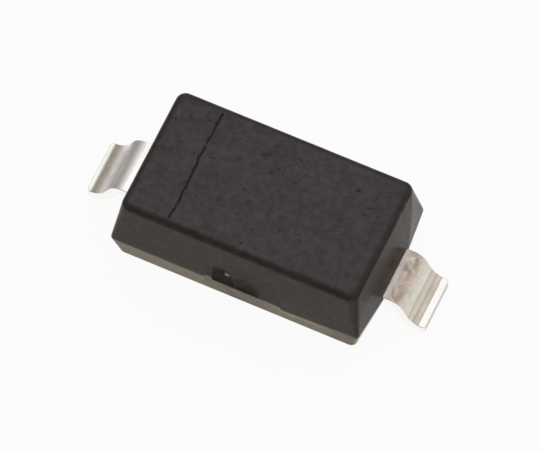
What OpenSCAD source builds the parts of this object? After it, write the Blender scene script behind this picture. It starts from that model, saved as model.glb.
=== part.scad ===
// Switching diode in a two-lead moulded surface-mount package.
// Millimetres. Origin on the seating plane below the middle of the moulding, +Z up,
// +X along the length with the cathode lead at -X and the anode lead at +X.

/* [Body] */
// Length of the moulding at the parting line, corner to corner
body_l = 2.7; // [2.5:0.05:2.85]
// Width of the moulding at the parting line
body_w = 1.6; // [1.4:0.01:1.7]
// Height of the upper half above the parting line
upper_h = 0.62; // [0.58:0.01:0.8]
// Height of the lower half below the parting line
lower_h = 0.34; // [0.28:0.01:0.4]
// Gap between the underside of the moulding and the seating plane
standoff = 0.02; // [0.01:0.01:0.08]
// Draft of the two ends of the upper half, degrees
end_draft = 7; // [3:0.5:9]
// Draft of the two long sides of the upper half, degrees
side_draft = 8; // [3:0.5:10]
// Draft of the lower half all round, degrees
lower_draft = 10; // [4:0.5:12]
// Bulge of each end at the parting line, from its corners out to the lead
end_bow = 0.045; // [0.005:0.005:0.06]
// Radius of the edges round the top face
top_edge_r = 0.052; // [0.03:0.002:0.08]
// Radius of the corners of the top face in plan
top_corner_r = 0.105; // [0.085:0.005:0.13]
// Radius of the edges round the underside
bottom_edge_r = 0.03; // [0.015:0.005:0.05]
// Radius of the corners of the underside in plan
bottom_corner_r = 0.07; // [0.055:0.005:0.1]
// Radius of the corners of the outline at the parting line
corner_r = 0.038; // [0.02:0.002:0.08]
// Height of the upright land that the two mould halves leave at the parting line
land_h = 0.01; // [0.005:0.005:0.02]
// Diameter of the ejector mark in the underside
pin_d = 0.6; // [0.4:0.05:0.8]
// Depth of the ejector mark
pin_depth = 0.012; // [0.006:0.002:0.03]

/* [Gate scar and polarity bar] */
// Length of the broken gate along the front long side
gate_l = 0.5; // [0.4:0.02:0.7]
// Height of the broken gate above the parting line, at its highest point
gate_h = 0.22; // [0.18:0.01:0.26]
// Place of that highest point, from the middle towards the cathode end
gate_crown = 0.1; // [0:0.01:0.15]
// Radius of the upper edge of the broken gate
gate_edge_r = 0.57; // [0.5:0.01:0.8]
// Depth of the broken gate behind the parting line, at its middle
gate_depth = 0.05; // [0.04:0.005:0.07]
// Turn of the floor of the broken gate, deeper towards the cathode end, degrees
gate_turn = 5; // [0:1:7]
// Middle of the polarity bar from the cathode end of the moulding
bar_in = 0.575; // [0.4:0.005:0.7]
// Width of the polarity bar
bar_w = 0.026; // [0.02:0.002:0.06]
// Depth of the polarity bar
bar_depth = 0.008; // [0.004:0.002:0.014]

/* [Leads] */
// Width of each lead outside the moulding
lead_w = 0.6; // [0.45:0.01:0.65]
// Thickness of the lead strip
lead_t = 0.1; // [0.08:0.01:0.14]
// Reach of each lead beyond the end of the moulding
lead_reach = 0.5; // [0.48:0.01:0.6]
// Inside radius of the first bend
shoulder_r = 0.06; // [0.03:0.005:0.08]
// Slope of the leg, degrees below level
leg_slope = 64; // [56:1:70]
// Inside radius of the bend between leg and foot
ankle_r = 0.15; // [0.08:0.01:0.18]
// Slope of the feet, degrees below level
foot_slope = 29; // [20:1:34]
// Length of the straight part of the feet
foot_l = 0.055; // [0.04:0.005:0.08]
// Inside radius of the bend that brings the toe level
toe_r = 0.03; // [0.02:0.005:0.06]
// Length of the level toe
toe_l = 0.065; // [0.05:0.005:0.08]
// Corner radius of the toe in plan
toe_corner_r = 0.04; // [0.02:0.005:0.08]

/* [Chip and wire] */
// Length of strip between the end of the moulding and the widened part inside
embed_l = 0.25; // [0.2:0.01:0.3]
// Length of the die pad
pad_l = 0.95; // [0.8:0.01:1.05]
// Width of the die pad
pad_w = 0.9; // [0.7:0.01:1]
// Length of the bonding post
post_l = 0.5; // [0.4:0.01:0.6]
// Width of the bonding post
post_w = 0.8; // [0.7:0.01:1]
// Side of the square chip
die_w = 0.36; // [0.25:0.01:0.5]
// Thickness of the chip
die_h = 0.14; // [0.1:0.01:0.18]
// Thickness of the layer under the chip
attach_h = 0.016; // [0.012:0.002:0.03]
// Border of the layer beyond the chip
attach_rim = 0.02; // [0.01:0.005:0.05]
// Diameter of the bond wire
wire_d = 0.032; // [0.024:0.002:0.05]
// Diameter of the ball on the chip
ball_d = 0.085; // [0.07:0.005:0.11]
// Height of the ball on the chip
ball_h = 0.022; // [0.016:0.002:0.03]
// Upright part of the wire above the ball
neck_h = 0.06; // [0.03:0.005:0.08]
// Radius of the wire loop
loop_r = 0.08; // [0.06:0.005:0.1]
// Start of the stitch from the inner edge of the bonding post
stitch_in = 0.14; // [0.1:0.01:0.2]
// Length of the stitch
stitch_l = 0.1; // [0.08:0.01:0.14]
// Width of the stitch
stitch_w = 0.06; // [0.054:0.002:0.08]
// Height of the stitch
stitch_h = 0.014; // [0.01:0.002:0.02]

/* [Hidden] */
$fn = 48;
// Parting plane, level with the middle of the strip where it leaves the moulding
part_z = standoff + lower_h;
// Top of the moulding
top_z = part_z + upper_h;
// Underside and top of the strip inside the moulding
under_z = part_z - lead_t / 2;
strip_z = part_z + lead_t / 2;
// Inner end of the plain strip and outer end of the toe
root_x = body_l / 2 - embed_l;
tip_x = body_l / 2 + lead_reach;
// Underside radii of the ankle and toe bends
ankle_out = ankle_r + lead_t;
toe_out = toe_r + lead_t;
// Straight length of the leg that brings the toe down to the seating plane
leg_drop = under_z - shoulder_r * (1 - cos(leg_slope)) - ankle_out * (cos(foot_slope) - cos(leg_slope))
    - foot_l * sin(foot_slope) - toe_out * (1 - cos(foot_slope));
leg_l = leg_drop / sin(leg_slope);
// Places of the chip and the stitch
die_x = pad_l / 2 - root_x;
die_z = strip_z + attach_h;
wire_r = wire_d / 2;
stitch_x = root_x - post_l + stitch_in;
stitch_z = strip_z + wire_r * 0.8;
// Wire loop: centre of the arc and slope of the straight run that touches it
loop_x = die_x + loop_r;
loop_z = die_z + die_h + ball_h + neck_h;
run_x = stitch_x - loop_x;
run_z = loop_z - stitch_z;
run_slope = atan2(run_z, run_x) + asin(loop_r / norm([run_x, run_z]));
// Sides of the wire and steps of its loop
wire_n = 12;
loop_n = 12;

// Directions along and across a strip that slopes down, in the side view
function along(slope) = [cos(slope), -sin(slope)];
function across(slope) = [sin(slope), cos(slope)];

// Points on an arc in the side view
function arc(c, r, a, b) =
    let (n = ceil(abs(b - a) / 4))
    [for (i = [0:n]) let (f = a + (b - a) * i / n) c + r * [cos(f), sin(f)]];

// Oval section of the wire, square to a path with the given slope below level
function oval(x, z, slope, half_h, half_w) = [
    for (j = [0:wire_n - 1])
        let (f = 360 * j / wire_n)
        [x + half_h * sin(f) * sin(slope), half_w * cos(f), z + half_h * sin(f) * cos(slope)]
];

// One drafted mould half, standing on the parting plane and growing upwards
module mould_half(h, x_draft, y_draft, edge_r, plan_r) {
    rise = h - edge_r - land_h;
    ring_r = plan_r - edge_r;
    ring_x = body_l / 2 - rise * tan(x_draft) - edge_r / cos(x_draft) - ring_r;
    ring_y = body_w / 2 - rise * tan(y_draft) - edge_r / cos(y_draft) - ring_r;
    hull()
        for (sx = [-1, 1], sy = [-1, 1]) {
            translate([sx * (body_l / 2 - corner_r), sy * (body_w / 2 - corner_r), 0])
                cylinder(h = land_h, r = corner_r, $fn = 24);
            translate([sx * (body_l / 2 + end_bow - corner_r), sy * lead_w / 2, 0])
                cylinder(h = land_h, r = corner_r, $fn = 24);
            translate([sx * ring_x, sy * ring_y, h - edge_r])
                rotate_extrude()
                    intersection() {
                        translate([ring_r, 0])
                            circle(r = edge_r);
                        translate([0, -edge_r])
                            square([plan_r, 2 * edge_r]);
                    }
        }
}

// Place where the gate broke away from the front long side
module gate_scar() {
    translate([0, -body_w / 2, part_z])
        rotate([0, 0, -gate_turn])
            translate([0, gate_depth, 0])
                rotate([90, 0, 0])
                    linear_extrude(height = gate_depth * 3)
                        intersection() {
                            translate([-gate_crown, gate_h - gate_edge_r])
                                circle(r = gate_edge_r);
                            translate([-gate_l / 2, land_h])
                                square([gate_l, gate_h]);
                        }
}

// Shallow burnt line across the top at the cathode end
module polarity_bar() {
    translate([bar_in - body_l / 2 - bar_w / 2, -body_w / 2, top_z - bar_depth])
        cube([bar_w, body_w, bar_depth * 2]);
}

// Round mark that the ejector pin leaves in the underside
module ejector_mark() {
    translate([0, 0, standoff - pin_depth])
        cylinder(h = pin_depth * 2, d = pin_d);
}

// Side view of the strip from the widened part inside to the toe
module lead_side() {
    toe_c = [tip_x - toe_l, toe_out];
    ankle_c = toe_c + (ankle_out - toe_out) * across(foot_slope) - foot_l * along(foot_slope);
    shoulder_c = ankle_c - (shoulder_r + ankle_out) * across(leg_slope) - leg_l * along(leg_slope);
    polygon(concat(
        [[root_x, under_z]],
        arc(shoulder_c, shoulder_r, 90, 90 - leg_slope),
        arc(ankle_c, ankle_out, 270 - leg_slope, 270 - foot_slope),
        arc(toe_c, toe_out, 270 - foot_slope, 270),
        [[tip_x, 0], [tip_x, lead_t]],
        arc(toe_c, toe_r, 270, 270 - foot_slope),
        arc(ankle_c, ankle_r, 270 - foot_slope, 270 - leg_slope),
        arc(shoulder_c, shoulder_r + lead_t, 90 - leg_slope, 90),
        [[root_x, strip_z]]
    ));
}

// Plan of the strip with its toe corners rounded
module lead_plan() {
    translate([root_x, -lead_w / 2])
        square([tip_x - root_x - toe_corner_r, lead_w]);
    translate([root_x, toe_corner_r - lead_w / 2])
        square([tip_x - root_x, lead_w - 2 * toe_corner_r]);
    for (sy = [-1, 1])
        translate([tip_x - toe_corner_r, sy * (lead_w / 2 - toe_corner_r)])
            circle(r = toe_corner_r);
}

// Formed strip, as it stands at the +X end
module formed_strip() {
    intersection() {
        translate([0, lead_w, 0])
            rotate([90, 0, 0])
                linear_extrude(height = lead_w * 2)
                    lead_side();
        linear_extrude(height = strip_z * 2)
            lead_plan();
    }
}

module cathode_lead() {
    color([0.8, 0.78, 0.75]) {
        mirror([1, 0, 0])
            formed_strip();
        translate([-root_x, -pad_w / 2, under_z])
            cube([pad_l, pad_w, lead_t]);
    }
}

module anode_lead() {
    color([0.8, 0.78, 0.75]) {
        formed_strip();
        translate([root_x - post_l, -post_w / 2, under_z])
            cube([post_l, post_w, lead_t]);
    }
}

module die_attach() {
    side = die_w + 2 * attach_rim;
    color([0.62, 0.63, 0.66])
        translate([die_x - side / 2, -side / 2, strip_z])
            cube([side, side, attach_h]);
}

module silicon_die() {
    color([0.33, 0.35, 0.4])
        translate([die_x - die_w / 2, -die_w / 2, die_z])
            cube([die_w, die_w, die_h]);
}

// Wire from the ball through its loop to the flattened stitch
module wire_sweep() {
    sections = concat(
        [oval(die_x, die_z + die_h + ball_h / 2, -90, wire_r, wire_r)],
        [for (i = [0:loop_n])
            let (f = 180 - (90 + run_slope) * i / loop_n)
            oval(loop_x + loop_r * cos(f), loop_z + loop_r * sin(f), 90 - f, wire_r, wire_r)],
        [oval(stitch_x, stitch_z, run_slope / 2, wire_r, wire_r)],
        [oval(stitch_x + stitch_l, strip_z + stitch_h / 4, 0, stitch_h * 3 / 4, stitch_w / 2)]
    );
    last = (len(sections) - 1) * wire_n;
    polyhedron(
        points = [for (section = sections) each section],
        faces = concat(
            [[for (j = [0:wire_n - 1]) j]],
            [for (i = [0:wire_n:last - wire_n], j = [0:wire_n - 1])
                [i + (j + 1) % wire_n, i + j, i + j + wire_n]],
            [for (i = [0:wire_n:last - wire_n], j = [0:wire_n - 1])
                [i + (j + 1) % wire_n, i + j + wire_n, i + (j + 1) % wire_n + wire_n]],
            [[for (j = [wire_n - 1:-1:0]) last + j]]
        )
    );
}

module bond_wire() {
    color([0.83, 0.62, 0.24]) {
        translate([die_x, 0, die_z + die_h])
            cylinder(h = ball_h, d = ball_d);
        intersection() {
            wire_sweep();
            translate([die_x - ball_d, -ball_d, strip_z])
                cube([stitch_x + stitch_l * 2 - die_x, 2 * ball_d, upper_h]);
        }
    }
}

module moulded_body() {
    color([0.25, 0.24, 0.24])
        difference() {
            union() {
                translate([0, 0, part_z])
                    mould_half(upper_h, end_draft, side_draft, top_edge_r, top_corner_r);
                translate([0, 0, part_z])
                    mirror([0, 0, 1])
                        mould_half(lower_h, lower_draft, lower_draft, bottom_edge_r, bottom_corner_r);
            }
            gate_scar();
            polarity_bar();
            ejector_mark();
            cathode_lead();
            anode_lead();
            die_attach();
            silicon_die();
            bond_wire();
        }
}

moulded_body();
cathode_lead();
anode_lead();
die_attach();
silicon_die();
bond_wire();
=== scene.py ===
"""Looks of a moulded two-lead switching diode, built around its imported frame.

Lengths are in millimetres unless a name says otherwise, and each mesh is scaled to metres when it is made.
A pair of places that smooth or step is given is where a change starts and where it is complete.
"""

import math

import bpy
import numpy as np
from mathutils import Matrix, Vector, noise


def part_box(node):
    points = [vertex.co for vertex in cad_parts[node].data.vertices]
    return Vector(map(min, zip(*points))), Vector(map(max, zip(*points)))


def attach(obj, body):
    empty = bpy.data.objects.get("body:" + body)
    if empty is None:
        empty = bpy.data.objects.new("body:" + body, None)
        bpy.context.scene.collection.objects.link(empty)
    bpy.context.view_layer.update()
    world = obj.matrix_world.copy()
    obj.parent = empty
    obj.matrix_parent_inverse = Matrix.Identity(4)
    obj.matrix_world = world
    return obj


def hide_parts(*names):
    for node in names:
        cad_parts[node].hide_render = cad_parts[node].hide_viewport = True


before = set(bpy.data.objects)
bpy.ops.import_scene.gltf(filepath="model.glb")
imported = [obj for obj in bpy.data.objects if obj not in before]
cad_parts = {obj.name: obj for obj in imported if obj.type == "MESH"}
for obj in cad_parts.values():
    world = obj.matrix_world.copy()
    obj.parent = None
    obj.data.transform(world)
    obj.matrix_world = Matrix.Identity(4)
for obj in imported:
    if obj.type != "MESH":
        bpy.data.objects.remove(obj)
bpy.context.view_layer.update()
MM = 0.001
TINY = 1e-6


def box_mm(node):
    """Lowest and highest corner of a CAD node."""
    return [np.array(corner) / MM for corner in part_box(node)]


body_low, body_high = box_mm("moulded_body")
lead_high = box_mm("anode_lead")[1]

# Moulding
END_BOW = 0.045
HALF_L = body_high[0] - END_BOW
HALF_W = body_high[1]
TOP_Z = body_high[2]
UNDER_Z = body_low[2]
LEAD_T = 0.1
PART_Z = lead_high[2] - LEAD_T / 2
END_DRAFT = math.radians(7)
SIDE_DRAFT = math.radians(8)
LOWER_DRAFT = math.radians(10)
TOP_EDGE_R = 0.074
TOP_CORNER_R = 0.105
BOTTOM_EDGE_R = 0.03
BOTTOM_CORNER_R = 0.07
CORNER_R = 0.038
LAND_H = 0.01
MOULDING_SHARP_DEG = 40
# Points of the sides with a smaller y than this are on the front side
FRONT_Y = -0.6

# Ejector mark underneath
PIN_R = 0.3
PIN_DEPTH = 0.011
PIN_EASE = 0.012

# Texture of the mould
WAVE_DEPTH = 0.0012
TOP_GRAIN_DEPTH = 0.0013
SIDE_GRAIN_DEPTH = 0.0007

# Share of a normal at which a face starts to count as facing along an axis, and at which it fully does
FACING = (0.6, 0.9)
# Degrees of slope over which the dusty tone thins out and the rounded edges turn darker, partly as painted
# shade, away from the flat faces and away from the long walls
DUST_TILT = 15
WALL_TILT = 9
# Half the height over which the look changes at the parting line
PART_EASE = 0.004
# Grey haze on the ends, a painted reflection of the floor streaked like scuffs: where it sets in across the
# width to the back, across it to the front, and down from the top there
REFLECTION_BACK_Y = (0.12, 0.42)
REFLECTION_FRONT_Y = (-0.3, -0.55)
REFLECTION_FRONT_H = (0.4, 0.1)

# Polarity bar across the top, with the sway of its middle line. The edge is in half widths from that line,
# and the bar is whole or faint by a noise.
BAR_FROM_END = 0.575
BAR_X = BAR_FROM_END - HALF_L
BAR_W = 0.027
BAR_W_VARY = 0.6
BAR_DEPTH = 0.008
BAR_LOW_Y = -0.672
BAR_HIGH_Y = 0.642
BAR_END_EASE = 0.012
BAR_EDGE = (1.3, 0.6)
BAR_SWAY_Y = (-0.66, -0.38, 0.30, 0.63)
BAR_SWAY = (0.002, 0.009, -0.010, -0.002)
BAR_WANDER = 0.011
BAR_WHOLE = (-0.8, -0.3)
BAR_FAINT_SHARE = 0.55
BAR_LUMPS = 0.2

# Broken gate on the front long side: an upright left wall, and scoops torn out under a sharp rim.
# A scoop is painted dark as shade, fully at its fade below the rim.
GATE_WALL_X = -0.24
GATE_WALL_EASE = 0.008
GATE_FOOT_SHARE = 0.2
GATE_ARCH_POWER = 2.4
GATE_LIP = 0.003
GATE_RAGGED_X = 0.01
GATE_RAGGED_H = 0.012
GATE_LUMPS = 0.22
GATE_SCOOPS = [
    dict(x=-0.15, half_l=0.165, top=0.25, depth=0.036, fade=0.12),
    dict(x=0.115, half_l=0.165, top=0.225, depth=0.034, fade=0.2),
]
# Light fleck in the gate
FLECK_X = -0.086
FLECK_H = 0.157
FLECK_L = 0.028
FLECK_W = 0.024
FLECK_RISE = 0.014
FLECK_EDGE = (1.3, 0.7)
# Darkening round the gate: a halo above the parting line, and two below it, painted shade under the gate
# and a darker part by the corner
HALO_X = 0.1
HALO_H = 0.08
HALO_HALF_L = 0.34
HALO_HALF_H = 0.26
HALO_EDGE = (1.5, 0.7)
HALO_SHARE = 0.26
UNDER_GATE_X = 0.04
UNDER_GATE_REACH = (0.42, 0.12)
UNDER_GATE_SHARE = 0.5
BY_CORNER_X = (0.92, 1.1)
BY_CORNER_SHARE = 0.45

# Parting line: its wander as (height, size, seed), the heights within which it lifts the sides, and how far
# it stays clear of the lead windows
LINE_WAVES = [(0.004, 0.12, 5), (0.003, 0.03, 6)]
LINE_REACH = (0.14, 0.02)
LINE_CLEAR = 0.02
# Tab and drop of the flash beside the gate
TAB_LOW_X = -0.316
TAB_H = 0.04
TAB_EASE = 0.008
TAB_WALL_EASE = 0.004
DROP_X = 0.505
DROP_END_X = 1.25
DROP_H = 0.04
DROP_EASE = 0.007

# Leads
LEAD_W = 0.6
SHOULDER_R = 0.06
LEG_SLOPE = math.radians(64)
ANKLE_R = 0.15
FOOT_SLOPE = math.radians(29)
FOOT_L = 0.055
TOE_R = 0.03
TOE_L = 0.065
TOE_CORNER_R = 0.04
PAD_INSET = 0.25
ROOT_X = HALF_L - PAD_INSET
LEAD_EDGE_R = 0.009
LEAD_WAVE = 0.0022
LEAD_SHARP_DEG = 50
TIP_X = lead_high[0]
# Extra radius of the two lower bends, which are fuller than the solid's between the same straight lines
ANKLE_EASE = 0.06
TOE_EASE = 0.05
# Bends of the strip's middle line as (radius, slope before, slope after)
BENDS = [
    (SHOULDER_R + LEAD_T / 2, 0, LEG_SLOPE),
    (ANKLE_R + ANKLE_EASE + LEAD_T / 2, LEG_SLOPE, FOOT_SLOPE),
    (TOE_R + TOE_EASE + LEAD_T / 2, FOOT_SLOPE, 0),
]
BEND_DROP = sum(r * abs(math.cos(a) - math.cos(b)) for r, a, b in BENDS)
BEND_REACH = sum(r * abs(math.sin(a) - math.sin(b)) for r, a, b in BENDS)
# Straight lengths that the bends leave, and where the shoulder bend starts
TOE_TAKEN = TOE_EASE * math.tan(FOOT_SLOPE / 2)
ANKLE_TAKEN = ANKLE_EASE * math.tan((LEG_SLOPE - FOOT_SLOPE) / 2)
TOE_RUN = TOE_L - TOE_TAKEN
FOOT_RUN = FOOT_L - TOE_TAKEN - ANKLE_TAKEN
LEG_DROP = PART_Z - LEAD_T / 2 - FOOT_RUN * math.sin(FOOT_SLOPE) - BEND_DROP
LEG_RUN = LEG_DROP / math.sin(LEG_SLOPE)
SHOULDER_X = TIP_X - TOE_RUN - FOOT_RUN * math.cos(FOOT_SLOPE) - LEG_RUN * math.cos(LEG_SLOPE) - BEND_REACH
# Places along the strip from the end of the moulding
SHOULDER_AT = SHOULDER_X - HALF_L - END_BOW
LEG_AT = SHOULDER_AT + BENDS[0][0] * LEG_SLOPE
ANKLE_AT = LEG_AT + LEG_RUN
FOOT_AT = ANKLE_AT + BENDS[1][0] * (LEG_SLOPE - FOOT_SLOPE)
TOE_AT = FOOT_AT + FOOT_RUN + BENDS[2][0] * FOOT_SLOPE
# End of the bright plating beside the moulding
BRIGHT_AT = 0.06
# Stretches along the strip over which the plating changes its tone or its polish
BESIDE_BODY = (BRIGHT_AT + 0.01, BRIGHT_AT - 0.04)
CLEAN_SHOULDER = (BRIGHT_AT, BRIGHT_AT + 0.1)
CLEAN_LEG = (LEG_AT - 0.035, ANKLE_AT + 0.01)
WORN_LEG = (LEG_AT - 0.09, LEG_AT + 0.01)
FOOT_TONE = (FOOT_AT - 0.03, FOOT_AT + 0.01)
CLEAN_FOOT = (FOOT_AT + 0.01, TOE_AT - 0.005)
CLEAN_TOE = (TOE_AT - 0.002, TOE_AT + 0.028)
WORN_TOE = (TOE_AT - 0.05, TOE_AT - 0.02)
POLISHED_BODY_END = (BRIGHT_AT + 0.015, BRIGHT_AT - 0.025)
POLISHED_TOE = (TOE_AT - 0.01, TOE_AT + 0.01)
# Shares of the edge radius from the tip at which the bare cut end starts and is complete
CUT_SHARES = (0.5, 0.1)
# Two lines that the forming tool left, as shares of the ankle bend, and their strength on the clean lead
TOOL_LINES = (0.23, 0.81)
TOOL_LINE_W = 0.125
CLEAN_TOOL_LINES = 0.2

# Windows in the moulding that the leads pass through, in the points that are this near to its ends
WINDOW_GAP = 0.003
WINDOW_DEPTH = 0.1
END_ZONE = 0.1

# Floor, and the shade that its reflections show along the long sides: its width, and how far from the
# middle it starts
FLOOR_HALF_M = 0.6
FLOOR_Z = -0.002
FLOOR_WHITE_SHARE = 0.94
FLOOR_TONE = (0.95, 0.95, 0.95)
FLOOR_MIRRORED = (1, 0.98, 0.945)
CONTACT_SHADE = (0.88, 0.77, 0.63)
CONTACT_SHADE_W = 0.15
CONTACT_SHADE_Y = 0.5

# Studio, by direction: levels of the left and right walls, dimmer in front and at the horizon, a lighter
# band on the right, and a broad lamp above the back
WALL_TONE = (1, 0.95, 0.89)
WALL_LEVELS = (0.46, 0.62)
WALL_TURN_X = (-0.7, 0.5)
FRONT_DIM = 0.55
FRONT_TURN_Y = (-0.75, 0.1)
HORIZON_DIM = 0.55
HORIZON_Z = (0.0, 0.1)
BAND_LEVEL = 0.28
BAND_FOOT_Z = (-0.02, 0.06)
BAND_HEAD_Z = (0.75, 0.42)
BAND_TURN_X = (0.3, 0.7)
LAMP_AXIS = (-0.12, 0.42, 0.9)
LAMP_EDGE_DEG = (40, 14)
LAMP_LEVEL = 1.05

# Camera, fitted to the outline in the 540 x 450 frame
VIEW_AZIMUTH = math.radians(24.709)
VIEW_ELEVATION = math.radians(62.901)
VIEW_DISTANCE = 82.054
VIEW_RIGHT = 0.0254
VIEW_DOWN = 0.0210
LENS_MM = 551.8
SENSOR_MM = 36
CLIP_M = (0.001, 10)

# Fractal noise: its shift for each seed, and how it falls off and gets finer from octave to octave
NOISE_SHIFT = (7.31, 3.17, 5.71)
NOISE_FALL = 1.0
NOISE_FINER = 2.0


def smooth(low, high, value):
    """Smooth step from 0 at low to 1 at high."""
    t = np.clip((value - low) / (high - low), 0, 1)
    return t * t * (3 - 2 * t)


def at(x, y, z):
    """Points as rows, from coordinates of which some may be single numbers."""
    return np.column_stack(np.broadcast_arrays(x, y, z))


def rough(points, size, seed, octaves=3):
    """Seeded fractal noise, about -1 to 1, with features of the given size."""
    shift = Vector([seed * part for part in NOISE_SHIFT])
    return np.array([
        noise.fractal(Vector(p) / size + shift, NOISE_FALL, NOISE_FINER, octaves) for p in points])


def bumps(points, size, seed, octaves=3):
    """The same noise from 0 to 1."""
    return np.clip(rough(points, size, seed, octaves) * 0.5 + 0.5, 0, 1)


def runs(*stretches):
    """Places along a line, to a millionth, from stretches of (start, end, spacing)."""
    parts = [np.linspace(a, b, max(2, round((b - a) / step) + 1)) for a, b, step in stretches]
    return np.unique(np.round(np.concatenate(parts), 6))


def vertex_normals(points, quads):
    """Unit normals of a quad mesh at its vertices."""
    corners = points[quads]
    face = np.cross(corners[:, 2] - corners[:, 0], corners[:, 3] - corners[:, 1])
    total = np.zeros_like(points)
    for k in range(4):
        np.add.at(total, quads[:, k], face)
    return total / np.maximum(np.linalg.norm(total, axis=1), TINY ** 2)[:, None]


def grid_quads(index):
    """Quads between the neighbours of an index grid."""
    return np.stack([index[:-1, :-1], index[1:, :-1], index[1:, 1:], index[:-1, 1:]], -1).reshape(-1, 4)


def make_piece(name, points, faces, material, attributes, sharp_deg):
    """A mesh object in metres with float attributes, smooth but for edges sharper than the given angle."""
    mesh = bpy.data.meshes.new(name)
    mesh.from_pydata((points * MM).tolist(), [], [[int(i) for i in face] for face in faces])
    mesh.polygons.foreach_set("use_smooth", [True] * len(mesh.polygons))
    for label, values in attributes.items():
        layer = mesh.attributes.new(label, "FLOAT", "POINT")
        layer.data.foreach_set("value", np.asarray(values, np.float32))
    mesh.set_sharp_from_angle(angle=math.radians(sharp_deg))
    mesh.materials.append(material)
    mesh.validate()
    piece = bpy.data.objects.new(name, mesh)
    bpy.context.scene.collection.objects.link(piece)
    return piece


class Nodes:
    """Short calls for building one node tree."""

    # Sockets of Blender's Mix node when it mixes colours: factor, first and second colour, and the result
    MIX_INPUTS = (0, 6, 7)
    MIX_OUTPUT = 2

    def __init__(self, tree):
        self.tree = tree
        tree.nodes.clear()

    def feed(self, socket, value):
        """Sets a socket to a value, or links it to another node's output."""
        if isinstance(value, bpy.types.NodeSocket):
            self.tree.links.new(value, socket)
        else:
            socket.default_value = value

    def add(self, kind, inputs=None, **settings):
        """A node with its settings and inputs."""
        made = self.tree.nodes.new(kind)
        for key, value in settings.items():
            setattr(made, key, value)
        for key, value in (inputs or {}).items():
            self.feed(made.inputs[key], value)
        return made

    def math(self, operation, a, b=0.0, clamp=False):
        """One arithmetic step on two values."""
        return self.add("ShaderNodeMath", {0: a, 1: b}, operation=operation, use_clamp=clamp).outputs[0]

    def plus(self, a, b, clamp=False):
        """Sum of two values."""
        return self.math("ADD", a, b, clamp)

    def minus(self, a, b):
        """Difference of two values."""
        return self.math("SUBTRACT", a, b)

    def times(self, a, b):
        """Product of two values."""
        return self.math("MULTIPLY", a, b)

    def most(self, a, b, clamp=False):
        """The larger of two values."""
        return self.math("MAXIMUM", a, b, clamp)

    def step(self, value, low, high, to_low=0.0, to_high=1.0):
        """Smooth step of a value from one range to another."""
        made = self.add("ShaderNodeMapRange", {0: value, 1: low, 2: high, 3: to_low, 4: to_high})
        made.interpolation_type = "SMOOTHSTEP"
        return made.outputs[0]

    def mix(self, factor, a, b, blend="MIX"):
        """Colour a, turned to colour b by the factor."""
        made = self.add("ShaderNodeMix", data_type="RGBA", blend_type=blend)
        for socket, value in zip(self.MIX_INPUTS, (factor, a, b)):
            self.feed(made.inputs[socket], value)
        return made.outputs[self.MIX_OUTPUT]

    def noise(self, where, scale, detail=3.0, roughness=0.55, distortion=0.0):
        """Noise with the given number of features in a millimetre."""
        return self.add("ShaderNodeTexNoise", {
            "Vector": where, "Scale": scale, "Detail": detail, "Roughness": roughness,
            "Distortion": distortion}).outputs["Fac"]

    def place(self, stretch=(1, 1, 1)):
        """Object coordinates in millimetres, with a stretch along each axis."""
        coords = self.add("ShaderNodeTexCoord").outputs["Object"]
        scale = [s / MM for s in stretch]
        return self.add("ShaderNodeMapping", {"Vector": coords, "Scale": scale}).outputs[0]

    def attributes(self, *labels):
        """Values of the mesh's own float attributes."""
        return [self.add("ShaderNodeAttribute", attribute_name=label).outputs["Fac"] for label in labels]

    def surface(self, tint, finish, height, strength, depth, **constants):
        """Principled surface with a bump of the given depth, as the material's output."""
        bump = self.add("ShaderNodeBump", {"Height": height, "Strength": strength, "Distance": depth * MM})
        inputs = {"Base Color": tint, "Roughness": finish, "Normal": bump.outputs[0], **constants}
        self.finish(self.add("ShaderNodeBsdfPrincipled", inputs).outputs[0])

    def finish(self, shader, kind="ShaderNodeOutputMaterial"):
        """Joins a shader to the tree's output."""
        self.add(kind, {"Surface": shader})


def colour(red, green, blue):
    """An opaque colour."""
    return (red, green, blue, 1.0)


def new_material(name):
    """A material with an empty node tree."""
    material = bpy.data.materials.new(name)
    material.use_nodes = True
    return material, Nodes(material.node_tree)


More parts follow.
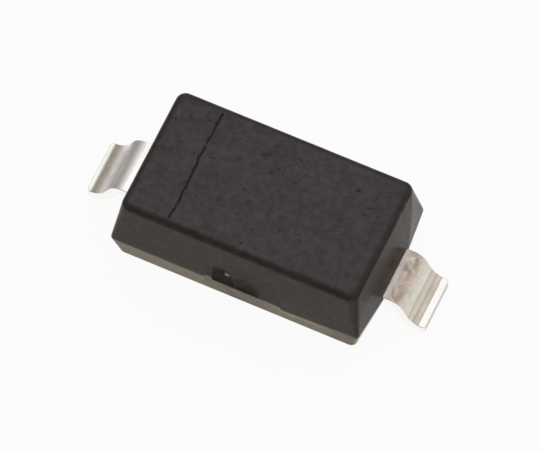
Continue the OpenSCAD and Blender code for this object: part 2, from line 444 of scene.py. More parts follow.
def epoxy_tint(n, where, specks):
    """Colour of the moulding compound.

    The flat faces are dusty, the long walls less so, and the edges bare and darker, partly as painted
    shade. The ends are dark with a grey haze, a painted reflection of the floor streaked like scuffs, and
    the lower half is tan, a painted reflection of the floor with light grit. The bar is burnt, and the gate
    is torn, with painted shade in its scoops and under it and a darker halo round it.
    """
    matt, lower, ends, walls, scuffs_and_reflection = n.attributes("matt", "lower", "ends", "walls", "scuffs_and_reflection")
    bar, gate, fleck = n.attributes("bar", "gate", "fleck")
    patches = n.step(n.noise(where, 3.0, detail=4.0, roughness=0.6, distortion=0.5), 0.40, 0.62)

    glints = n.step(n.noise(where, 34, detail=2.0, roughness=0.5), 0.69, 0.77, to_high=0.5)
    top = n.mix(patches, colour(0.085, 0.073, 0.084), colour(0.080, 0.068, 0.072))
    top = n.mix(n.times(specks, 0.6), top, colour(0.020, 0.017, 0.016))
    top = n.mix(glints, top, colour(0.19, 0.18, 0.19))

    # Bare rounded edges, darker than the dusty walls and flats, partly as painted shade
    bare = n.mix(patches, colour(0.042, 0.034, 0.030), colour(0.039, 0.033, 0.030))
    dusty = n.mix(patches, colour(0.081, 0.067, 0.061), colour(0.074, 0.062, 0.055))
    side = n.mix(walls, bare, dusty)
    side = n.mix(ends, side, colour(0.020, 0.014, 0.012))
    # Grey haze on the ends: a painted reflection of the floor, streaked like scuffs
    streaks = n.noise(n.place((4, 9, 5)), 1.0, detail=4.0, roughness=0.6, distortion=0.6)
    mottle = n.noise(where, 20, detail=3.0, roughness=0.6, distortion=0.4)
    haze = n.times(n.step(streaks, 0.26, 0.64), n.step(mottle, 0.38, 0.66, to_low=0.55))
    side = n.mix(n.times(haze, scuffs_and_reflection), side, colour(0.084, 0.070, 0.086))

    # Lower half: tan, a painted reflection of the floor, with light grit
    clouds = n.noise(where, 11, detail=5.0, roughness=0.65, distortion=0.6)
    grit = n.step(n.noise(where, 26, detail=2.0), 0.68, 0.76, to_high=0.7)
    tan = n.mix(n.step(clouds, 0.32, 0.68), colour(0.130, 0.120, 0.094), colour(0.165, 0.150, 0.118))
    tan = n.mix(grit, tan, colour(0.22, 0.20, 0.165))

    grain = n.noise(where, 14, detail=5.0, roughness=0.62)
    grain = n.step(grain, 0.28, 0.74, to_low=0.81, to_high=1.21)
    tint = n.mix(lower, side, tan)
    tint = n.mix(matt, tint, top)
    tint = n.mix(1.0, tint, grain, "MULTIPLY")
    tint = n.mix(n.times(bar, 0.75), tint, colour(0.018, 0.015, 0.012))
    # Painted shade in the gate's scoops and under the gate, and a darker halo round it
    tint = n.mix(n.times(gate, 0.92), tint, colour(0.020, 0.015, 0.010))
    return n.mix(fleck, tint, colour(0.34, 0.34, 0.31))


def epoxy_material():
    """Black moulding compound: matt flat faces, smoother sides and ends, dull bar and gate, fine pits."""
    material, n = new_material("epoxy")
    where = n.place()
    matt, lower, ends, bar, gate = n.attributes("matt", "lower", "ends", "bar", "gate")
    specks = n.step(n.noise(where, 11, detail=2.0, roughness=0.5, distortion=0.3), 0.64, 0.74)
    smear = n.noise(where, 9, detail=4.0, roughness=0.6)
    smear = n.step(smear, 0.3, 0.7, to_low=-0.06, to_high=0.07)
    finish = n.plus(n.times(matt, 0.18), n.step(lower, 0.0, 1.0, to_low=0.32, to_high=0.2))
    finish = n.plus(n.minus(finish, n.times(ends, 0.16)), smear)
    finish = n.plus(finish, n.plus(n.times(bar, 0.45), n.times(gate, 0.12)))
    fine_pits = n.noise(where, 55, detail=4.0, roughness=0.65)
    pits = n.plus(fine_pits, n.times(n.noise(where, 14, detail=3.0), 1.6))
    pits = n.minus(pits, n.times(n.times(specks, matt), 0.8))
    relief = n.step(matt, 0.0, 1.0, to_low=0.18, to_high=0.4)
    n.surface(epoxy_tint(n, where, specks), finish, pits, strength=relief, depth=0.004, IOR=1.2)
    return material


def tin_tint(n, where, streaks):
    """Colour of the plating.

    The clean lead is white by the moulding, grey over the shoulder as painted shade, white down the leg and
    tan on the foot. The worn lead is stained by the moulding and set darker, in part as painted shade over
    the shoulder, grey down the leg and pale on the foot. Toes and flanks are white, and the cut end is
    bare.
    """
    along, flank, cut, toe, aged, lines = n.attributes("along", "flank", "cut", "toe", "aged", "lines")
    stain = n.noise(where, 8, detail=5.0, roughness=0.62, distortion=1.0)
    blotch = n.noise(n.place((1.0, 1.4, 1.0)), 4.5, detail=3.0, roughness=0.6, distortion=0.8)
    spread = n.step(stain, 0.38, 0.60)

    def down_the_leg(flat, leg_stretch, leg, foot):
        """Tint of the flat part, turned to the leg's and then the foot's, which are pairs of tones."""
        tint = n.mix(n.step(along, *leg_stretch), flat, n.mix(spread, *leg))
        return n.mix(n.step(along, *FOOT_TONE), tint, n.mix(spread, *foot))

    # Grey over the clean lead's shoulder: painted shade
    shoulder = n.mix(spread, colour(0.40, 0.40, 0.37), colour(0.50, 0.49, 0.47))
    clean = n.mix(n.step(along, *CLEAN_SHOULDER), colour(0.98, 0.96, 0.95), shoulder)
    clean = down_the_leg(
        clean, CLEAN_LEG, leg=(colour(0.90, 0.87, 0.88), colour(0.98, 0.96, 0.95)),
        foot=(colour(0.66, 0.62, 0.52), colour(0.78, 0.74, 0.68)))
    clean = n.mix(n.step(along, *CLEAN_FOOT), clean, colour(0.42, 0.38, 0.30))

    # Stained tones of the worn lead, set darker in part as painted shade over its shoulder
    worn = n.mix(n.step(stain, 0.36, 0.62), colour(0.43, 0.39, 0.30), colour(0.72, 0.60, 0.53))
    worn = n.mix(n.step(blotch, 0.52, 0.64, to_high=0.9), worn, colour(0.81, 0.75, 0.68))
    worn = n.mix(n.times(n.step(along, *BESIDE_BODY), 0.65), worn, colour(0.97, 0.90, 0.86))
    worn = down_the_leg(
        worn, WORN_LEG, leg=(colour(0.69, 0.66, 0.60), colour(0.76, 0.74, 0.67)),
        foot=(colour(0.80, 0.73, 0.64), colour(0.94, 0.84, 0.77)))

    tint = n.mix(aged, clean, worn)
    tint = n.mix(n.times(lines, 0.55), tint, colour(0.32, 0.30, 0.27))
    tint = n.mix(toe, tint, colour(0.95, 0.93, 0.90))
    tint = n.mix(n.step(streaks, 0.42, 0.80, to_high=0.22), tint, colour(0.40, 0.38, 0.35))
    tint = n.mix(flank, tint, colour(0.98, 0.98, 0.98))
    return n.mix(cut, tint, colour(0.47, 0.46, 0.44))


def tin_material():
    """Tin plating, drawn along the strip, dull where it isn't polished."""
    material, n = new_material("tin_plate")
    where = n.place()
    polish = n.attributes("polish")[0]
    streaks = n.noise(n.place((34, 2.4, 34)), 1.0, detail=4.0, roughness=0.6)
    smear = n.noise(where, 16, detail=4.0, roughness=0.6)
    smear = n.step(smear, 0.3, 0.7, to_low=-0.05, to_high=0.06)
    finish = n.plus(n.step(polish, 0.0, 1.0, to_low=0.45, to_high=0.15), smear)
    relief = n.plus(n.noise(where, 40, detail=4.0, roughness=0.6), n.times(streaks, 0.8))
    n.surface(tin_tint(n, where, streaks), finish, relief, strength=0.2, depth=0.003, Metallic=1.0)
    return material


def inner_material(name, dark, light, scale, metallic, finish):
    """A sealed inner piece: two tones, grain and a varying finish."""
    material, n = new_material(name)
    where = n.place()
    tint = n.mix(n.step(n.noise(where, scale, detail=4.0), 0.35, 0.65), colour(*dark), colour(*light))
    smear = n.step(n.noise(where, scale * 2.5), 0.3, 0.7, *finish)
    n.surface(tint, smear, n.noise(where, scale * 4), strength=0.2, depth=0.002, Metallic=metallic)
    return material


# Columns of the moulding's mesh: true places up to the fixed reach, then shares of the way to the corner.
# The bar and the gate have finer cells, and a lip is the narrow step into a window.
X_FIXED = 1.1
Y_FIXED = 0.45
OUTER_SHARES = 1 / 11
CELL = 0.018
FINE_CELL = 0.009
BAR_CELL = 0.005
BAR_ZONE = 0.045
GATE_ZONE = (-0.36, 0.56)
SCAR_H = 0.27
LIP = 0.0006
CORNER_N = 4
TOP_ARC_N = 9
BOTTOM_ARC_N = 6

window_y = LEAD_W / 2 + WINDOW_GAP
window_h = LEAD_T / 2 + WINDOW_GAP
x_columns = runs(
    (-X_FIXED - 1, -X_FIXED, OUTER_SHARES), (-X_FIXED, BAR_X - BAR_ZONE, CELL),
    (BAR_X - BAR_ZONE, BAR_X + BAR_ZONE, BAR_CELL), (BAR_X + BAR_ZONE, GATE_ZONE[0], CELL),
    (*GATE_ZONE, FINE_CELL), (GATE_ZONE[1], X_FIXED, CELL), (X_FIXED, X_FIXED + 1, OUTER_SHARES))
y_columns = runs(
    (-Y_FIXED - 1, -Y_FIXED, OUTER_SHARES), (-Y_FIXED, -window_y, CELL), (-window_y, LIP - window_y, LIP),
    (LIP - window_y, window_y - LIP, CELL), (window_y - LIP, window_y, LIP), (window_y, Y_FIXED, CELL),
    (Y_FIXED, Y_FIXED + 1, OUTER_SHARES))


def stretched(columns, fixed, reach):
    """Column places for a side whose straight part reaches so far from its middle."""
    beyond = np.abs(columns) - fixed
    outer = np.sign(columns) * (fixed + beyond * (reach - fixed))
    return np.where(beyond > 0, outer, columns)


def half_levels(height, x_draft, y_draft, edge_r, plan_r, arc_n):
    """Levels of one mould half, from its land to its flat.

    Each is (height above the parting plane, inset of the ends, inset of the sides, corner radius,
    share of the rise).
    """
    rise = height - edge_r - LAND_H
    ring_r = plan_r - edge_r
    start = max(x_draft, y_draft)
    top = height - edge_r + edge_r * math.sin(start)
    top_r = ring_r + edge_r * math.cos(start)
    levels = []
    heights = runs(
        (0, LAND_H, LAND_H), (LAND_H, window_h - LIP, CELL), (window_h - LIP, window_h, LIP),
        (window_h, SCAR_H, FINE_CELL), (SCAR_H, top, CELL))
    for h in heights[:-1]:
        above = max(h - LAND_H, 0)
        share = above / (top - LAND_H)
        radius = CORNER_R + (top_r - CORNER_R) * share
        levels.append((h, above * math.tan(x_draft), above * math.tan(y_draft), radius, share))
    for turn in np.linspace(start, math.pi / 2, arc_n + 1):
        out = edge_r * math.cos(turn)
        inset_x = rise * math.tan(x_draft) + edge_r / math.cos(x_draft) - out
        inset_y = rise * math.tan(y_draft) + edge_r / math.cos(y_draft) - out
        levels.append((height - edge_r + edge_r * math.sin(turn), inset_x, inset_y, ring_r + out, 1.0))
    return levels


def ring_at(level):
    """Plan of the moulding at one level, counter-clockwise from the middle of the corner at -X -Y."""
    _, inset_x, inset_y, radius, share = level
    half_l = HALF_L - inset_x
    half_w = HALF_W - inset_y
    xs = stretched(x_columns, X_FIXED, half_l - radius)
    ys = stretched(y_columns, Y_FIXED, half_w - radius)
    flat_y = LEAD_W / 2 + (half_w - radius - LEAD_W / 2) * share
    slope = (half_w - radius - np.abs(ys)) / max(half_w - radius - flat_y, TINY)
    bowed = half_l + END_BOW * (1 - share) * np.clip(slope, 0, 1)
    sides = [
        np.column_stack([xs, np.full_like(xs, -half_w)]),
        np.column_stack([bowed, ys]),
        np.column_stack([xs, np.full_like(xs, half_w)])[::-1],
        np.column_stack([-bowed, ys])[::-1],
    ]
    centres = [(-1, -1), (1, -1), (1, 1), (-1, 1)]

    def half_corner(corner, begin, steps):
        """Points of half a rounded corner, from its first angle in degrees."""
        sx, sy = centres[corner % 4]
        turns = np.radians([begin + 45 * i / CORNER_N for i in steps])
        x = sx * (half_l - radius) + radius * np.cos(turns)
        y = sy * (half_w - radius) + radius * np.sin(turns)
        return np.column_stack([x, y])

    points = []
    for k, side in enumerate(sides):
        points.append(half_corner(k, 225 + 90 * k, range(CORNER_N)))
        points.append(side)
        points.append(half_corner(k + 1, 270 + 90 * k, range(1, CORNER_N)))
    return np.concatenate(points)


def flat_grid(ring, first, count_i, count_j):
    """Index grid, inner indices and inner points of a flat face that a ring closes.

    The first inner point gets the index first.
    """
    n = len(ring)
    right = count_i - 1
    back = right + count_j - 1
    left = back + count_i - 1
    front_edge = ring[:count_i]
    right_edge = ring[right:right + count_j]
    back_edge = ring[back:back + count_i][::-1]
    left_edge = ring[np.arange(left, left + count_j) % n][::-1]
    v = ((right_edge[:, 1] - right_edge[0, 1]) / (right_edge[-1, 1] - right_edge[0, 1]))[None, :, None]
    i = np.arange(count_i)
    reach = CORNER_N + round(1 / OUTER_SHARES)
    from_left = (np.clip(1 - i / reach, 0, 1) ** 2)[:, None, None]
    from_right = from_left[::-1]
    grid = (1 - v) * front_edge[:, None] + v * back_edge[:, None]
    grid = grid + from_left * (left_edge[None] - ((1 - v) * left_edge[0] + v * left_edge[-1]))
    grid = grid + from_right * (right_edge[None] - ((1 - v) * right_edge[0] + v * right_edge[-1]))
    index = np.zeros((count_i, count_j), int)
    index[:, 0] = np.arange(count_i)
    index[-1, :] = right + np.arange(count_j)
    index[::-1, -1] = back + np.arange(count_i)
    index[0, ::-1] = np.arange(left, left + count_j) % n
    inner = np.arange((count_i - 2) * (count_j - 2)).reshape(count_i - 2, count_j - 2)
    return index, inner + first, grid[1:-1, 1:-1].reshape(-1, 2)


def moulding_mesh():
    """Points, quads and face labels of the plain drafted moulding."""
    upper = half_levels(TOP_Z - PART_Z, END_DRAFT, SIDE_DRAFT, TOP_EDGE_R, TOP_CORNER_R, TOP_ARC_N)
    lower = half_levels(
        PART_Z - UNDER_Z, LOWER_DRAFT, LOWER_DRAFT, BOTTOM_EDGE_R, BOTTOM_CORNER_R, BOTTOM_ARC_N)
    levels = [(-h, *rest) for h, *rest in lower[:0:-1]] + upper
    rings = [ring_at(level) for level in levels]
    n = len(rings[0])
    points = [at(*ring.T, PART_Z + level[0]) for ring, level in zip(rings, levels)]
    labels = [np.full(n, "side") for _ in rings]
    rows = np.arange(len(rings) * n).reshape(len(rings), n)
    wrapped = np.concatenate([rows, rows[:, :1]], 1)
    quads = [grid_quads(wrapped.T)]
    count_i = len(x_columns) + 2 * CORNER_N
    count_j = len(y_columns) + 2 * CORNER_N
    free = rows.size
    for ring, base, z, label in ((rings[0], 0, UNDER_Z, "under"), (rings[-1], rows[-1, 0], TOP_Z, "top")):
        index, inner, flat = flat_grid(ring, free, count_i, count_j)
        index = index + base
        index[1:-1, 1:-1] = inner
        faces = grid_quads(index)
        quads.append(faces[:, ::-1] if label == "under" else faces)
        points.append(at(*flat.T, z))
        labels.append(np.full(len(flat), label))
        free += len(flat)
    return np.concatenate(points), np.concatenate(quads), np.concatenate(labels)


def gate_tear(x, h):
    """Depth torn out of the front side, and the shade painted into the tear.

    Each scoop is deepest under its rim, and its painted shade is darkest at its foot.
    """
    depth = np.zeros_like(x)
    scar_shade = np.zeros_like(x)
    ragged = rough(at(x, 0, h), size=0.06, seed=8)
    for scoop in GATE_SCOOPS:
        across = np.abs((x + GATE_RAGGED_X * ragged - scoop["x"]) / scoop["half_l"])
        arch = np.clip(1 - across ** GATE_ARCH_POWER, 0, 1) ** 0.5
        rim = scoop["top"] * arch + GATE_RAGGED_H * ragged
        slope = GATE_FOOT_SHARE + (1 - GATE_FOOT_SHARE) * np.clip(h / scoop["top"], 0, 1)
        depth = np.maximum(depth, scoop["depth"] * slope * smooth(0, GATE_LIP, rim - h))
        scar_shade = np.maximum(scar_shade, smooth(0, scoop["fade"], rim - h))
    inside = smooth(GATE_WALL_X - GATE_WALL_EASE, GATE_WALL_X + GATE_WALL_EASE, x)
    return depth * inside * smooth(0, LAND_H * 2, h), scar_shade * inside * smooth(-PART_EASE, PART_EASE, h)


def gate_darkening(x, h):
    """How dark the front side is round the gate: a halo above the parting line, and below it painted shade
    under the gate and a darker part by the corner.
    """
    from_halo = np.hypot((x - HALO_X) / HALO_HALF_L, (h - HALO_H) / HALO_HALF_H)
    above = HALO_SHARE * smooth(*HALO_EDGE, from_halo)
    below = UNDER_GATE_SHARE * smooth(*UNDER_GATE_REACH, np.abs(x - UNDER_GATE_X))
    below = below + BY_CORNER_SHARE * smooth(*BY_CORNER_X, x)
    return np.where(h > 0, above, np.where(h < 0, below, 0))


def parting_lift(x, y, h, front):
    """Rise of the parting line: its wander, and on the front the tab and the drop of the flash."""
    line = sum(height * rough(at(x, y, 0), size, seed) for height, size, seed in LINE_WAVES)
    tab = TAB_H * smooth(TAB_LOW_X - TAB_EASE, TAB_LOW_X + TAB_EASE, x)
    tab = tab * smooth(GATE_WALL_X + TAB_WALL_EASE, GATE_WALL_X - TAB_WALL_EASE, x)
    drop = DROP_H * smooth(DROP_X - DROP_EASE, DROP_X + DROP_EASE, x)
    drop = drop * np.clip((DROP_END_X - x) / (DROP_END_X - DROP_X), 0, 1)
    lift = np.where(front, line + tab - drop, line * (np.abs(y) > window_y + LINE_CLEAR))
    return lift * smooth(*LINE_REACH, np.abs(h))


def polarity_bar(x, y):
    """How strongly the top is burnt by the bar: wavy edges, faint places and soft ends."""
    wander = rough(at(0, y, 0), size=0.09, seed=12, octaves=2)
    ragged = rough(at(np.sign(x - BAR_X), y, 0), size=0.045, seed=13)
    whole = smooth(*BAR_WHOLE, rough(at(0, y, 0), size=0.06, seed=14, octaves=2))
    sway = np.interp(y, BAR_SWAY_Y, BAR_SWAY) + BAR_WANDER * wander
    width = BAR_W * (1 + BAR_W_VARY * ragged)
    off = np.abs(x - BAR_X - sway) / (width / 2)
    ends = smooth(BAR_LOW_Y, BAR_LOW_Y + BAR_END_EASE, y) * smooth(BAR_HIGH_Y, BAR_HIGH_Y - BAR_END_EASE, y)
    strength = BAR_FAINT_SHARE + (1 - BAR_FAINT_SHARE) * whole
    return smooth(*BAR_EDGE, off) * ends * strength


def dust_and_edge_shade(normals):
    """Masks of the dusty flat faces and long walls, fading with the slope away from them; the rounded edges
    between are bare and darker, partly as painted shade.
    """
    tilt = np.degrees(np.arccos(np.clip(normals[:, 2], -1, 1)))
    past_wall = np.maximum(90 - math.degrees(SIDE_DRAFT) - tilt, 0)
    along_wall = np.abs(normals[:, 1]) / np.maximum(np.hypot(normals[:, 0], normals[:, 1]), TINY)
    on_flats = np.exp(-np.minimum(tilt, 180 - tilt) / DUST_TILT)
    return on_flats, smooth(*FACING, along_wall) * np.exp(-past_wall / WALL_TILT)


def make_moulding(material):
    """Epoxy moulding with lead windows, broken gate, polarity bar, ejector mark and mould texture."""
    points, quads, labels = moulding_mesh()
    x, y, z = points.T.copy()
    h = z - PART_Z
    side = labels == "side"
    top = labels == "top"
    front_side = side & (y < FRONT_Y)
    front = front_side & (np.abs(x) < X_FIXED)
    normals = vertex_normals(points, quads)
    lumps = rough(points, size=0.07, seed=3)

    # Depth of the torn gate and the shade painted into it, and the darkening round the gate, which is
    # painted shade under it
    torn, scar_shade = [np.where(front, part, 0) for part in gate_tear(x, h)]
    stain = np.where(front_side, gate_darkening(x, h), 0)
    from_fleck = np.hypot((x - FLECK_X) / FLECK_L, (h - FLECK_H) / FLECK_W)
    fleck = np.where(front, smooth(*FLECK_EDGE, from_fleck), 0)
    lift = np.where(side, parting_lift(x, y, h, front), 0)
    bar = np.where(top, polarity_bar(x, y), 0)
    groove = BAR_DEPTH * bar * (1 - BAR_LUMPS + BAR_LUMPS * lumps)
    pressed = PIN_DEPTH * smooth(PIN_R + PIN_EASE, PIN_R - PIN_EASE, np.hypot(x, y))
    pressed = np.where(labels == "under", pressed, 0)
    texture = WAVE_DEPTH * bumps(points, size=0.22, seed=21, octaves=2)
    grain_depth = np.where(top, TOP_GRAIN_DEPTH, SIDE_GRAIN_DEPTH)
    texture = texture + grain_depth * bumps(points, size=0.045, seed=22)

    points = points - normals * texture[:, None]
    points[:, 1] += torn * (1 + GATE_LUMPS * lumps) - FLECK_RISE * fleck
    points[:, 2] += lift + pressed - groove
    window = side & (np.abs(x) > HALF_L - END_ZONE)
    window = window & (np.abs(y) < window_y - LIP / 2) & (np.abs(h) < window_h - LIP / 2)
    points[:, 0] -= np.where(window, np.sign(x) * WINDOW_DEPTH, 0)

    matt, walls = dust_and_edge_shade(normals)
    ends = smooth(*FACING, np.abs(normals[:, 0]))
    # Where the ends get their grey haze, a painted reflection of the floor streaked like scuffs
    scuffs_and_reflection = np.maximum(smooth(*REFLECTION_BACK_Y, y), smooth(*REFLECTION_FRONT_Y, y) * smooth(*REFLECTION_FRONT_H, h))
    # Lower half below the parting line, smoother and tinted tan as a painted reflection of the floor
    lower = np.where(side, smooth(PART_EASE, -PART_EASE, h), 0)
    attributes = dict(
        bar=bar, gate=np.maximum(scar_shade, stain), fleck=fleck, matt=matt, lower=lower, ends=ends, walls=walls,
        scuffs_and_reflection=scuffs_and_reflection * ends)
    piece = make_piece("epoxy_moulding", points, quads, material, attributes, MOULDING_SHARP_DEG)
    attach(piece, "root")
    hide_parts("moulded_body")


# Steps of the strips' meshes
INNER_STEP = 0.05
SHOULDER_STEP = 0.012
STRAIGHT_STEP = 0.01
BEND_STEP = math.radians(3)
BEND_MIN_N = 4
ROUND_N = 4
STRIP_N = 46
# Corner radius of a thinning section, as a share of half its thickness
SECTION_ROUND = 0.98


def lead_path(inner_x):
    """Middle line of a formed strip towards +X.

    Its rows are (place along it from the end of the moulding, x, z, slope down).
    """
    u, x, z, slope = inner_x - HALF_L - END_BOW, inner_x, PART_Z, 0.0
    rows = [(u, x, z, slope)]

    def advance(length, heading):
        """Moves on by a straight step."""
        nonlocal x, z
        x += math.cos(heading) * length
        z -= math.sin(heading) * length

    def straight(length, spacing):
        """Adds a straight stretch."""
        nonlocal u
        count = max(1, round(length / spacing))
        for _ in range(count):
            u += length / count
            advance(length / count, slope)
            rows.append((u, x, z, slope))

    def bend(radius, to_slope):
        """Adds a round bend, by chords."""
        nonlocal u, slope
        count = max(BEND_MIN_N, round(abs(to_slope - slope) / BEND_STEP))
        turn = (to_slope - slope) / count
        for _ in range(count):
            u += abs(turn) * radius
            advance(2 * radius * math.sin(abs(turn) / 2), slope + turn / 2)
            slope += turn
            rows.append((u, x, z, slope))

    straight(ROOT_X - inner_x - LIP, INNER_STEP)
    straight(LIP, LIP)
    straight(SHOULDER_X - ROOT_X, SHOULDER_STEP)
    for (radius, _, to_slope), length in zip(BENDS, (LEG_RUN, FOOT_RUN, TOE_RUN - LEAD_EDGE_R)):
        bend(radius, to_slope)
        straight(length, STRAIGHT_STEP)
    for turn in np.linspace(0, math.pi / 2, ROUND_N + 1)[1:]:
        reach = LEAD_EDGE_R * math.sin(turn)
        rows.append((u + reach, x + reach, z, slope))
    return np.array(rows)


def strip_section(half_w, half_t, radius):
    """Rounded section of a strip as rows of (across, up), counter-clockwise seen from the tip."""
    def corner(sy, sz, begin):
        """Points of one rounded corner, from its first angle in degrees."""
        turns = np.radians(begin + np.linspace(0, 90, ROUND_N + 1))
        across = sy * (half_w - radius) + radius * np.cos(turns)
        up = sz * (half_t - radius) + radius * np.sin(turns)
        return np.column_stack([across, up])

    flat = np.linspace(-1, 1, STRIP_N)[1:-1] * (half_w - radius)
    top = np.column_stack([flat[::-1], np.full(STRIP_N - 2, half_t)])
    corners = [corner(1, 1, 0), corner(-1, 1, 90), corner(-1, -1, 180), corner(1, -1, 270)]
    return np.concatenate([corners[0], top, *corners[1:3], -top, corners[3]])


def rounded_off(half, radius, from_tip):
    """Half a size near the tip, where a rounded corner takes some of it away."""
    if from_tip >= radius:
        return half
    left = math.sqrt(max(radius ** 2 - (radius - from_tip) ** 2, 0))
    return half - (radius - left)


def make_lead(name, node, mirrored, aged, seed, material):
    """A formed lead: its pad inside the moulding, and the bent strip with rounded edges and corners."""
    low, high = box_mm(node)
    path = lead_path(-high[0] if mirrored else low[0])
    end = path[-1, 0]
    rings = []
    for u, x, z, slope in path:
        inside = x < ROOT_X - LIP / 2
        half_w = rounded_off(high[1] if inside else LEAD_W / 2, TOE_CORNER_R, end - u)
        half_t = rounded_off(LEAD_T / 2, LEAD_EDGE_R, end - u)
        across, up = strip_section(half_w, half_t, min(LEAD_EDGE_R, half_t * SECTION_ROUND)).T
        rings.append(at(x + up * math.sin(slope), across, z + up * math.cos(slope)))
    n = len(rings[0])
    points = np.concatenate(rings)
    rows = np.arange(len(points)).reshape(len(rings), n)
    quads = grid_quads(np.concatenate([rows, rows[:, :1]], 1))
    normals = vertex_normals(points, quads)
    points = points + normals * (LEAD_WAVE * bumps(points, size=0.13, seed=seed, octaves=2))[:, None]
    faces = quads.tolist() + [rows[0].tolist()[::-1], rows[-1].tolist()]
    if mirrored:
        points[:, 0] *= -1
    else:
        faces = [face[::-1] for face in faces]

    along = np.repeat(path[:, 0], n)
    turn = (along - ANKLE_AT) / (FOOT_AT - ANKLE_AT)
    lines = sum(np.exp(-((turn - line) / TOOL_LINE_W) ** 2) for line in TOOL_LINES)
    flank = smooth(*FACING, np.abs(normals[:, 1]))
    cut_from, cut_to = [end - LEAD_EDGE_R * share for share in CUT_SHARES]
    if aged:
        polish = smooth(LEG_AT, ANKLE_AT, along)
        toe = smooth(*WORN_TOE, along)
        cut = smooth(cut_from, cut_to, along)
    else:
        polish = smooth(*POLISHED_BODY_END, along) + smooth(*POLISHED_TOE, along)
        toe = smooth(*CLEAN_TOE, along)
        cut = np.zeros_like(along)
        lines = lines * CLEAN_TOOL_LINES
    attributes = dict(
        along=along, flank=flank, aged=np.full_like(along, aged), lines=lines, toe=toe, cut=cut,
        polish=np.maximum(polish, flank))
    piece = make_piece(name, points, faces, material, attributes, LEAD_SHARP_DEG)
    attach(piece, "root")
    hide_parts(node)


# Looks of the sealed inner pieces, which keep their CAD meshes
INNER_LOOKS = {
    "die_attach": dict(
        name="solder", dark=(0.42, 0.43, 0.45), light=(0.6, 0.61, 0.63), scale=20, metallic=1.0,
        finish=(0.35, 0.5)),
    "silicon_die": dict(
        name="silicon", dark=(0.07, 0.08, 0.1), light=(0.15, 0.16, 0.19), scale=12, metallic=0.6,
        finish=(0.12, 0.25)),
    "bond_wire": dict(
        name="bond_metal", dark=(0.7, 0.46, 0.16), light=(0.82, 0.6, 0.28), scale=25, metallic=1.0,
        finish=(0.2, 0.35)),
}


def paint(node, material):
    """Gives a CAD node its material."""
    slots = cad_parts[node].data.materials
    slots.clear()
    slots.append(material)


def make_floor():
    """Pale floor that shows white and keeps a soft shadow; seen from below it isn't there."""
    mesh = bpy.data.meshes.new("floor")
    corners = [(sx * FLOOR_HALF_M, sy * FLOOR_HALF_M, FLOOR_Z * MM)
               for sx, sy in ((-1, -1), (1, -1), (1, 1), (-1, 1))]
    mesh.from_pydata(corners, [], [(0, 1, 2, 3)])
    material, n = new_material("floor")
    path = n.add("ShaderNodeLightPath").outputs
    seen = n.most(path["Is Camera Ray"], path["Is Transmission Ray"])
    mirrored = path["Is Glossy Ray"]
    share = n.plus(n.times(seen, FLOOR_WHITE_SHARE), n.times(mirrored, FLOOR_WHITE_SHARE), clamp=True)
    x, y, _ = n.add("ShaderNodeSeparateXYZ", {0: n.place()}).outputs
    off_x = n.math("ABSOLUTE", x)
    off_y = n.math("ABSOLUTE", y)
    beyond = n.most(n.minus(off_x, body_high[0]), n.minus(off_y, body_high[1]))
    away = n.step(beyond, 0.0, CONTACT_SHADE_W)
    between = n.step(off_y, CONTACT_SHADE_Y + CONTACT_SHADE_W, CONTACT_SHADE_Y)
    shade = n.mix(n.most(away, between), colour(*CONTACT_SHADE), colour(*FLOOR_MIRRORED))
    warmth = n.mix(mirrored, colour(1, 1, 1), shade)
    plain = n.add("ShaderNodeBsdfDiffuse", {"Color": colour(*FLOOR_TONE)})
    white = n.add("ShaderNodeEmission", {"Color": warmth, "Strength": 1.0})
    lit = n.add("ShaderNodeMixShader", {0: share, 1: plain.outputs[0], 2: white.outputs[0]})
    clear = n.add("ShaderNodeBsdfTransparent")
    behind = n.add("ShaderNodeNewGeometry").outputs["Backfacing"]
    n.finish(n.add("ShaderNodeMixShader", {0: behind, 1: lit.outputs[0], 2: clear.outputs[0]}).outputs[0])
    mesh.materials.append(material)
    floor = bpy.data.objects.new("floor", mesh)
    bpy.context.scene.collection.objects.link(floor)


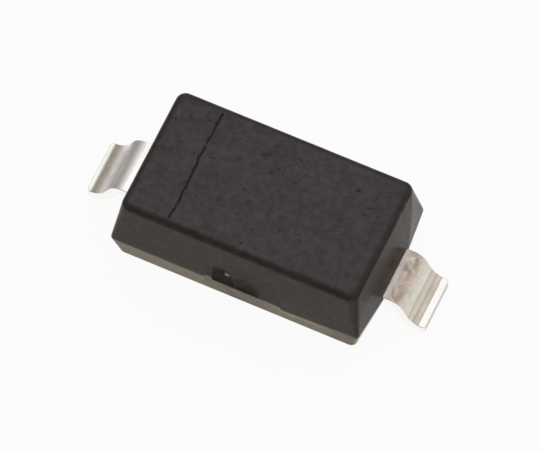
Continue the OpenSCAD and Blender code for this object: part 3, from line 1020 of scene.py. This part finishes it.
def make_world():
    """Studio surroundings: grey walls, lighter on the right and darker in front, and a broad soft lamp."""
    world = bpy.data.worlds.new("studio")
    bpy.context.scene.world = world
    world.use_nodes = True
    n = Nodes(world.node_tree)
    toward = n.add("ShaderNodeTexCoord").outputs["Generated"]
    x, y, z = n.add("ShaderNodeSeparateXYZ", {0: toward}).outputs
    walls = n.times(n.step(x, *WALL_TURN_X, *WALL_LEVELS), n.step(y, *FRONT_TURN_Y, to_low=FRONT_DIM))
    walls = n.times(walls, n.step(z, *HORIZON_Z, to_low=HORIZON_DIM))
    band = n.times(n.step(z, *BAND_FOOT_Z), n.step(z, *BAND_HEAD_Z))
    band = n.times(band, n.step(x, *BAND_TURN_X))
    walls = n.plus(walls, n.times(band, BAND_LEVEL))
    axis = Vector(LAMP_AXIS).normalized()
    facing = n.add("ShaderNodeVectorMath", {0: toward, 1: axis}, operation="DOT_PRODUCT").outputs["Value"]
    edge = [math.cos(math.radians(degrees)) for degrees in LAMP_EDGE_DEG]
    glow = n.step(facing, *edge, to_high=LAMP_LEVEL)
    seen = n.add("ShaderNodeLightPath").outputs["Is Camera Ray"]
    level = n.most(n.most(walls, glow), seen)
    tone = n.mix(n.most(glow, seen, clamp=True), colour(*WALL_TONE), colour(1, 1, 1))
    sky = n.add("ShaderNodeBackground", {"Color": tone, "Strength": level})
    n.finish(sky.outputs[0], "ShaderNodeOutputWorld")


def make_camera():
    """Camera at the photograph's angle, with no shift and no depth of field."""
    data = bpy.data.cameras.new("camera")
    data.lens = LENS_MM
    data.sensor_width = SENSOR_MM
    data.clip_start, data.clip_end = CLIP_M
    level = math.cos(VIEW_ELEVATION)
    back = Vector((
        math.sin(VIEW_AZIMUTH) * level, -math.cos(VIEW_AZIMUTH) * level, math.sin(VIEW_ELEVATION)))
    right = Vector((math.cos(VIEW_AZIMUTH), math.sin(VIEW_AZIMUTH), 0))
    up = back.cross(right)
    place = Vector((0, 0, PART_Z)) + back * VIEW_DISTANCE + right * VIEW_RIGHT - up * VIEW_DOWN
    camera = bpy.data.objects.new("camera", data)
    turn = Matrix((right, up, back)).transposed().to_4x4()
    camera.matrix_world = Matrix.Translation(place * MM) @ turn
    bpy.context.scene.collection.objects.link(camera)
    bpy.context.scene.camera = camera


tin = tin_material()
make_moulding(epoxy_material())
make_lead("cathode_strip", "cathode_lead", mirrored=True, aged=False, seed=31, material=tin)
make_lead("anode_strip", "anode_lead", mirrored=False, aged=True, seed=37, material=tin)
for node, look in INNER_LOOKS.items():
    paint(node, inner_material(**look))
make_floor()
make_world()
make_camera()
bpy.context.scene.view_settings.view_transform = "Standard"
